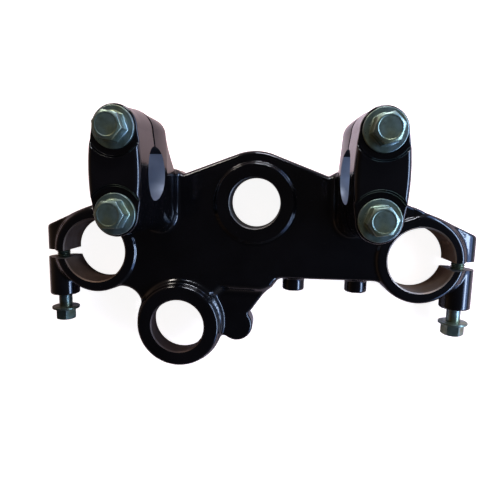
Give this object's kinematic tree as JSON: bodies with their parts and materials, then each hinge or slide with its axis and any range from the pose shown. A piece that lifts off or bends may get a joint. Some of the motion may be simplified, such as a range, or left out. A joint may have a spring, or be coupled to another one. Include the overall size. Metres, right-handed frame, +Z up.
{
  "type": "motorcycle upper fork clamp",
  "caption": "Cast upper fork clamp with cast-in handlebar risers, bolted bar caps, split fork rings with pinch bolts and an ignition switch ring.",
  "frame": {"origin": "on the steering stem bore axis, in the plane of the fork ring undersides", "axes": "+X to the right fork tube as seen in the picture, +Y towards the rider, +Z up along the steering stem"},
  "size_m": [0.2284, 0.1253, 0.0866],
  "materials": {
    "black_casting": "gloss black paint, bare machined bores",
    "black_cap": "gloss black paint",
    "zinc_bolt": "dull zinc plating"
  },
  "bodies": {
    "root": {"fork_bridge": "black_casting", "left_bar_cap": "black_cap", "right_bar_cap": "black_cap", "cap_bolt_left_rear": "zinc_bolt", "cap_bolt_left_front": "zinc_bolt", "cap_bolt_right_rear": "zinc_bolt", "cap_bolt_right_front": "zinc_bolt", "left_pinch_bolt": "zinc_bolt", "right_pinch_bolt": "zinc_bolt"}
  },
  "joints": []
}
